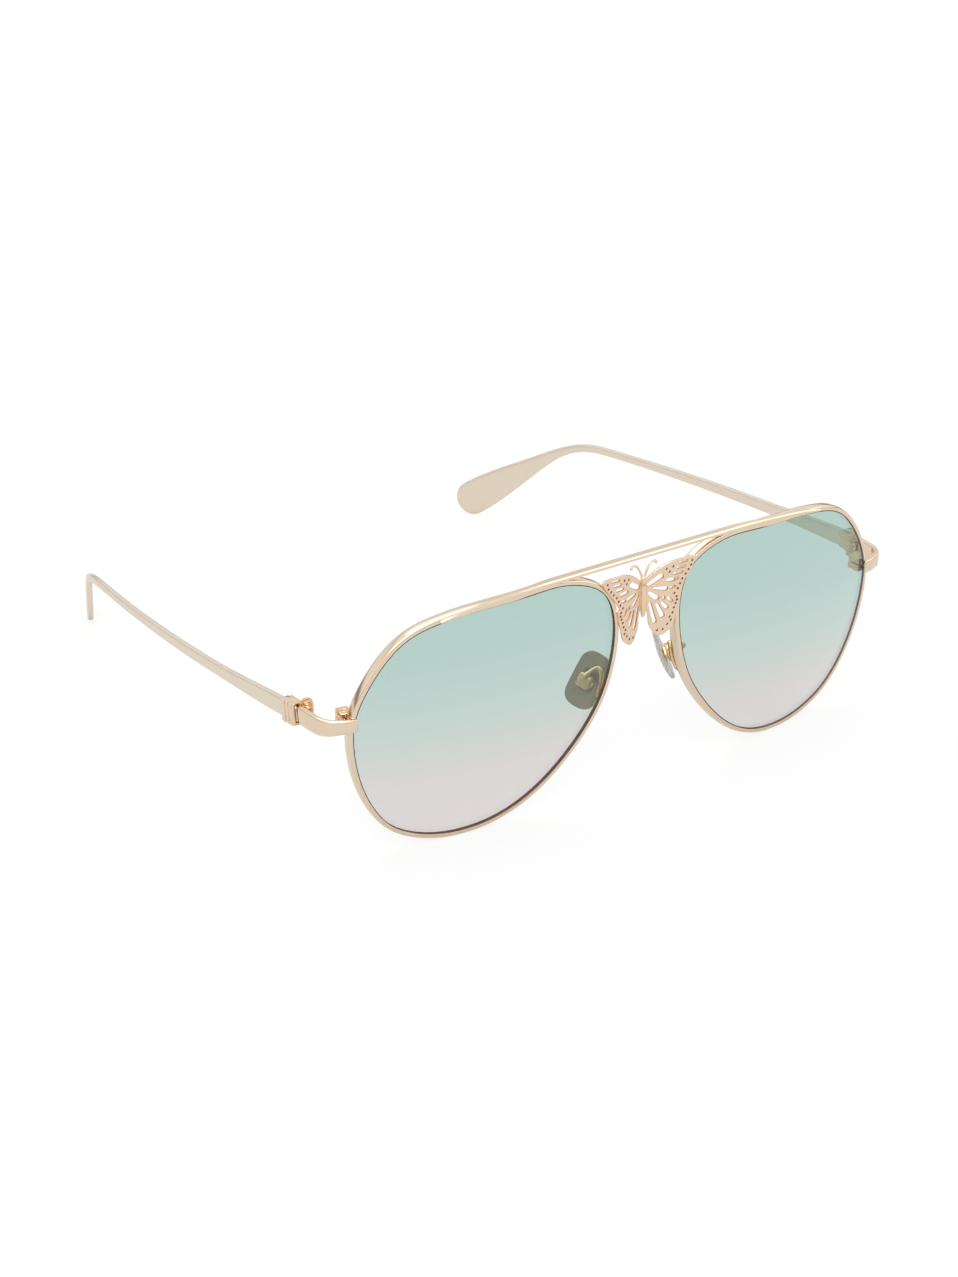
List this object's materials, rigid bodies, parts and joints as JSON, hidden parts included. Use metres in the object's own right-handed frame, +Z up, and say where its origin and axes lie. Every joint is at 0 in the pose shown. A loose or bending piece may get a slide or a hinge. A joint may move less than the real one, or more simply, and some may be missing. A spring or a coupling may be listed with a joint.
{
  "type": "sunglasses",
  "caption": "Aviator sunglasses in thin gold metal with gradient lenses, a straight brow bar, an openwork butterfly bridge, rocking nose pads and temples that fold on screw hinges.",
  "frame": {"origin": "middle of the bounding box's underside, on the surface that the glasses rest on with the temples open", "axes": "+X to the wearer's left, +Y back towards the temple tips, +Z up; the front faces -Y"},
  "size_m": [0.1448, 0.1449, 0.0535],
  "materials": {
    "gold": "polished pale rose gold",
    "champagne": "smooth pale champagne gold",
    "hardware": "polished, redder gold",
    "lens": "tint that fades from teal to pale pinkish grey",
    "pad": "clear soft silicone"
  },
  "bodies": {
    "front": {"rim_left": "gold", "rim_right": "gold", "lens_left": "lens", "lens_right": "lens", "brow_bar": "gold", "butterfly_bridge": "gold", "end_piece_left": "gold", "end_piece_right": "gold", "rim_lock_upper_left": "gold", "rim_lock_upper_right": "gold", "rim_lock_lower_left": "gold", "rim_lock_lower_right": "gold", "rim_lock_screw_left": "hardware", "rim_lock_screw_right": "hardware", "front_hinge_left": "hardware", "front_hinge_right": "hardware", "hinge_screw_left": "hardware", "hinge_screw_right": "hardware", "pad_arm_left": "gold", "pad_arm_right": "gold", "pad_box_left": "hardware", "pad_box_right": "hardware", "pad_screw_left": "hardware", "pad_screw_right": "hardware"},
    "temple_left": {"temple_hinge_left": "hardware", "temple_left": "champagne", "collar_left": "gold"},
    "temple_right": {"temple_hinge_right": "hardware", "temple_right": "champagne", "collar_right": "gold"},
    "pad_left": {"pad_mount_left": "hardware", "nose_pad_left": "pad"},
    "pad_right": {"pad_mount_right": "hardware", "nose_pad_right": "pad"}
  },
  "joints": [
    {"name": "temple_left_fold", "type": "hinge", "parent": "front", "child": "temple_left", "pos_m": [0.06889, -0.05375, 0.03116], "axis": [0, 0, 1], "range_deg": [0, 82]},
    {"name": "temple_right_fold", "type": "hinge", "parent": "front", "child": "temple_right", "pos_m": [-0.06889, -0.05375, 0.03116], "axis": [0, 0, -1], "range_deg": [0, 77]},
    {"name": "pad_left_rock", "type": "hinge", "parent": "front", "child": "pad_left", "pos_m": [0.01149, -0.06564, 0.02655], "axis": [0.4043, 0.8579, 0.3171], "range_deg": [-8, 8]},
    {"name": "pad_right_rock", "type": "hinge", "parent": "front", "child": "pad_right", "pos_m": [-0.01149, -0.06564, 0.02655], "axis": [-0.4043, 0.8579, 0.3171], "range_deg": [-8, 8]}
  ]
}
